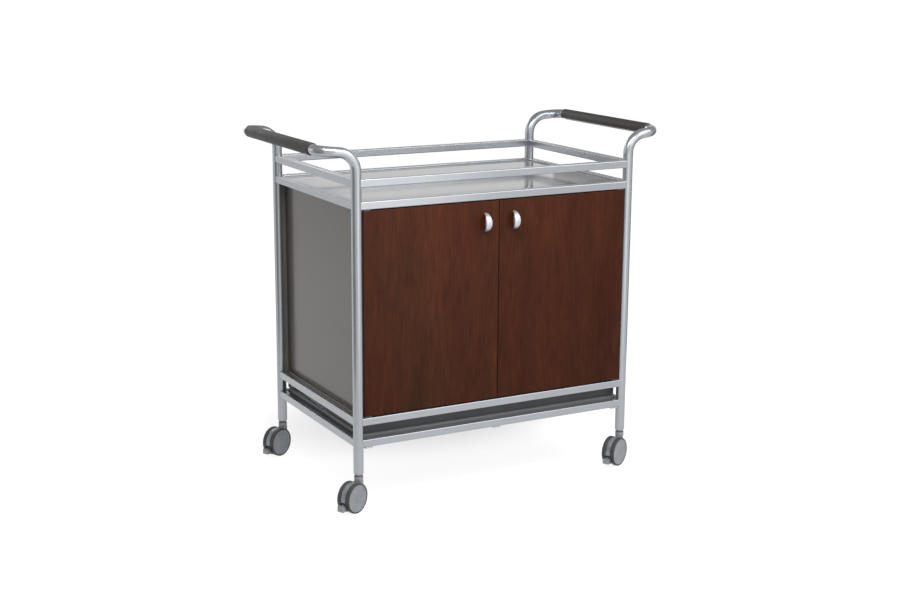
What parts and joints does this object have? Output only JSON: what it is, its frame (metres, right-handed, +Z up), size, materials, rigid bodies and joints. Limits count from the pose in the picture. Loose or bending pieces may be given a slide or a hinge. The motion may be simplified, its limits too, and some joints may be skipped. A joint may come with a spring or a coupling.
{
  "type": "microwave cart",
  "caption": "Kitchen cart with a tubular metal frame and push handles, glossy counter inside guard rails, two-door cabinet and swivel casters.",
  "frame": {"origin": "on the floor, in the middle of the bounding box", "axes": "+X to the right along the doors, +Y from the doors to the back, +Z up"},
  "size_m": [0.972, 0.5512, 0.894],
  "materials": {
    "silver_tube": "silver metallic powder coat, satin",
    "grip": "soft matte",
    "counter": "high-gloss light warm grey laminate",
    "taupe_panel": "taupe laminated board, satin",
    "carcass_board": "pale laminated board",
    "rear_board": "taupe hardboard",
    "plinth": "dark grey board, matte",
    "base_board": "grey-brown laminated board",
    "veneer": "dark cherry veneer, satin lacquer",
    "satin_nickel": "satin nickel",
    "steel": "zinc plated",
    "tab_steel": "silver powder coat",
    "dark_steel": "black oxide",
    "pale_plastic": "matte",
    "caster_wheel": "silver-grey hub face with a dark grey tread",
    "caster_plastic": "silver-grey nylon, satin"
  },
  "bodies": {
    "frame": {"back_base_rail": "silver_tube", "back_counter_rail": "silver_tube", "back_foot_rail": "silver_tube", "back_guard_rail": "silver_tube", "base_board": "base_board", "cabinet_floor": "carcass_board", "caster_stems": "dark_steel", "counter_panel": "counter", "end_frame_left": "silver_tube", "end_frame_right": "silver_tube", "front_base_rail": "silver_tube", "front_counter_rail": "silver_tube", "front_foot_rail": "silver_tube", "front_guard_rail": "silver_tube", "grip_left": "grip", "grip_right": "grip", "hinge_plates": "dark_steel", "magnetic_catches": "pale_plastic", "mounting_tabs": "tab_steel", "plinth_long_boards": "plinth", "plinth_short_boards": "taupe_panel", "rear_panel": "rear_board", "shelf": "carcass_board", "shelf_pins": "steel", "side_panel_left": "taupe_panel", "side_panel_right": "taupe_panel", "side_rails_left": "silver_tube", "side_rails_right": "silver_tube", "stem_sockets": "pale_plastic", "tab_screws": "steel"},
    "door_left": {"door_left": "veneer", "pull_left": "satin_nickel", "pull_screws_left": "steel", "hinge_leaves_left": "dark_steel", "strike_plate_left": "steel"},
    "door_right": {"door_right": "veneer", "pull_right": "satin_nickel", "pull_screws_right": "steel", "hinge_leaves_right": "dark_steel", "strike_plate_right": "steel"},
    "front_left_swivel": {"front_left_caster_housing": "caster_plastic", "front_left_axle": "steel"},
    "front_left_near_wheel": {"front_left_near_wheel": "caster_wheel"},
    "front_left_far_wheel": {"front_left_far_wheel": "caster_wheel"},
    "front_left_brake": {"front_left_brake_lever": "caster_plastic"},
    "front_right_swivel": {"front_right_caster_housing": "caster_plastic", "front_right_axle": "steel"},
    "front_right_near_wheel": {"front_right_near_wheel": "caster_wheel"},
    "front_right_far_wheel": {"front_right_far_wheel": "caster_wheel"},
    "front_right_brake": {"front_right_brake_lever": "caster_plastic"},
    "back_left_swivel": {"back_left_caster_housing": "caster_plastic", "back_left_axle": "steel"},
    "back_left_near_wheel": {"back_left_near_wheel": "caster_wheel"},
    "back_left_far_wheel": {"back_left_far_wheel": "caster_wheel"},
    "back_left_brake": {"back_left_brake_lever": "caster_plastic"},
    "back_right_swivel": {"back_right_caster_housing": "caster_plastic", "back_right_axle": "steel"},
    "back_right_near_wheel": {"back_right_near_wheel": "caster_wheel"},
    "back_right_far_wheel": {"back_right_far_wheel": "caster_wheel"},
    "back_right_brake": {"back_right_brake_lever": "caster_plastic"}
  },
  "joints": [
    {"name": "door_left_hinge", "type": "hinge", "parent": "frame", "child": "door_left", "pos_m": [-0.362, -0.23515, 0.4835], "axis": [0, 0, -1], "range_deg": [0, 120]},
    {"name": "door_right_hinge", "type": "hinge", "parent": "frame", "child": "door_right", "pos_m": [0.362, -0.23515, 0.4835], "axis": [0, 0, 1], "range_deg": [0, 120]},
    {"name": "front_left_swivel_turn", "type": "hinge", "parent": "frame", "child": "front_left_swivel", "pos_m": [-0.381, -0.23165, 0.0804], "axis": [0, 0, 1], "continuous": true},
    {"name": "front_left_near_spin", "type": "hinge", "parent": "front_left_swivel", "child": "front_left_near_wheel", "pos_m": [-0.40327, -0.243, 0.0375], "axis": [-0.454, 0.891, 0], "continuous": true},
    {"name": "front_left_far_spin", "type": "hinge", "parent": "front_left_swivel", "child": "front_left_far_wheel", "pos_m": [-0.40327, -0.243, 0.0375], "axis": [-0.454, 0.891, 0], "continuous": true},
    {"name": "front_left_brake_pedal", "type": "hinge", "parent": "front_left_swivel", "child": "front_left_brake", "pos_m": [-0.40327, -0.243, 0.0375], "axis": [0.454, -0.891, 0], "range_deg": [0, 12]},
    {"name": "front_right_swivel_turn", "type": "hinge", "parent": "frame", "child": "front_right_swivel", "pos_m": [0.381, -0.23165, 0.0804], "axis": [0, 0, 1], "continuous": true},
    {"name": "front_right_near_spin", "type": "hinge", "parent": "front_right_swivel", "child": "front_right_near_wheel", "pos_m": [0.35873, -0.243, 0.0375], "axis": [-0.454, 0.891, 0], "continuous": true},
    {"name": "front_right_far_spin", "type": "hinge", "parent": "front_right_swivel", "child": "front_right_far_wheel", "pos_m": [0.35873, -0.243, 0.0375], "axis": [-0.454, 0.891, 0], "continuous": true},
    {"name": "front_right_brake_pedal", "type": "hinge", "parent": "front_right_swivel", "child": "front_right_brake", "pos_m": [0.35873, -0.243, 0.0375], "axis": [0.454, -0.891, 0], "range_deg": [0, 12]},
    {"name": "back_left_swivel_turn", "type": "hinge", "parent": "frame", "child": "back_left_swivel", "pos_m": [-0.381, 0.25435, 0.0804], "axis": [0, 0, 1], "continuous": true},
    {"name": "back_left_near_spin", "type": "hinge", "parent": "back_left_swivel", "child": "back_left_near_wheel", "pos_m": [-0.40327, 0.243, 0.0375], "axis": [-0.454, 0.891, 0], "continuous": true},
    {"name": "back_left_far_spin", "type": "hinge", "parent": "back_left_swivel", "child": "back_left_far_wheel", "pos_m": [-0.40327, 0.243, 0.0375], "axis": [-0.454, 0.891, 0], "continuous": true},
    {"name": "back_left_brake_pedal", "type": "hinge", "parent": "back_left_swivel", "child": "back_left_brake", "pos_m": [-0.40327, 0.243, 0.0375], "axis": [0.454, -0.891, 0], "range_deg": [0, 12]},
    {"name": "back_right_swivel_turn", "type": "hinge", "parent": "frame", "child": "back_right_swivel", "pos_m": [0.381, 0.25435, 0.0804], "axis": [0, 0, 1], "continuous": true},
    {"name": "back_right_near_spin", "type": "hinge", "parent": "back_right_swivel", "child": "back_right_near_wheel", "pos_m": [0.35873, 0.243, 0.0375], "axis": [-0.454, 0.891, 0], "continuous": true},
    {"name": "back_right_far_spin", "type": "hinge", "parent": "back_right_swivel", "child": "back_right_far_wheel", "pos_m": [0.35873, 0.243, 0.0375], "axis": [-0.454, 0.891, 0], "continuous": true},
    {"name": "back_right_brake_pedal", "type": "hinge", "parent": "back_right_swivel", "child": "back_right_brake", "pos_m": [0.35873, 0.243, 0.0375], "axis": [0.454, -0.891, 0], "range_deg": [0, 12]}
  ]
}
